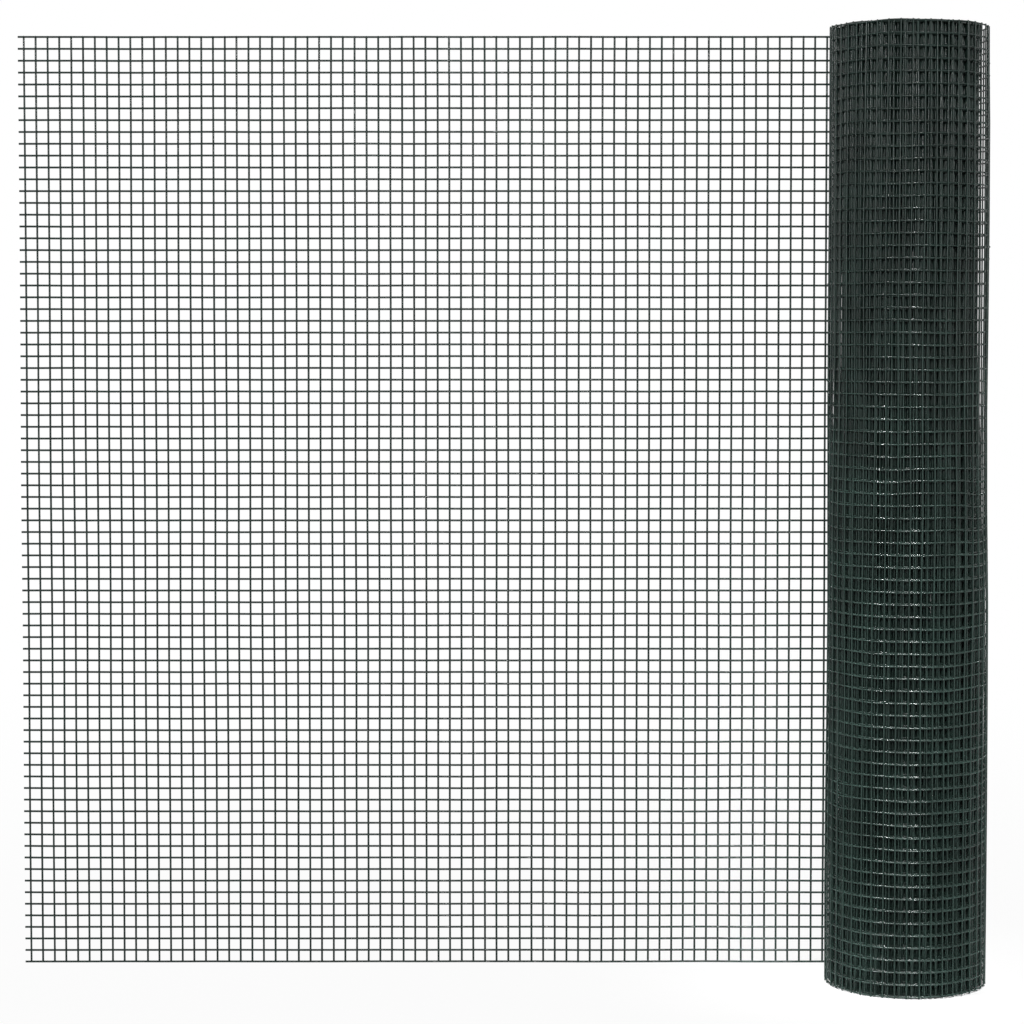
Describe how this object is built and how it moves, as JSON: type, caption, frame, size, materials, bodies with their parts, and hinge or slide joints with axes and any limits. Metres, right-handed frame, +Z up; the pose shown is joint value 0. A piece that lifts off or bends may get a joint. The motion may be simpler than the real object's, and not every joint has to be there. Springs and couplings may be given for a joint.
{
  "type": "roll of welded wire mesh fencing",
  "caption": "Dark green plastic-coated welded square mesh, wound into an upright roll with an open bore, its outer end unrolled into a flat run of fence.",
  "frame": {"origin": "centre of the roll's lower end, on the axis of its bore, at floor level", "axes": "+Z up along the roll's axis; the flat run leaves the back of the roll (+Y) and goes towards -X"},
  "size_m": [1.0312, 0.1736, 1.0055],
  "materials": {
    "coated_wire": "satin dark green plastic coat over galvanised steel wire"
  },
  "bodies": {
    "root": {"mesh_roll": "coated_wire", "flat_mesh_column1_row1": "coated_wire", "flat_mesh_column1_row2": "coated_wire", "flat_mesh_column1_row3": "coated_wire", "flat_mesh_column1_row4": "coated_wire", "flat_mesh_column1_row5": "coated_wire", "flat_mesh_column2_row1": "coated_wire", "flat_mesh_column2_row2": "coated_wire", "flat_mesh_column2_row3": "coated_wire", "flat_mesh_column2_row4": "coated_wire", "flat_mesh_column2_row5": "coated_wire", "flat_mesh_column3_row1": "coated_wire", "flat_mesh_column3_row2": "coated_wire", "flat_mesh_column3_row3": "coated_wire", "flat_mesh_column3_row4": "coated_wire", "flat_mesh_column3_row5": "coated_wire"}
  },
  "joints": []
}
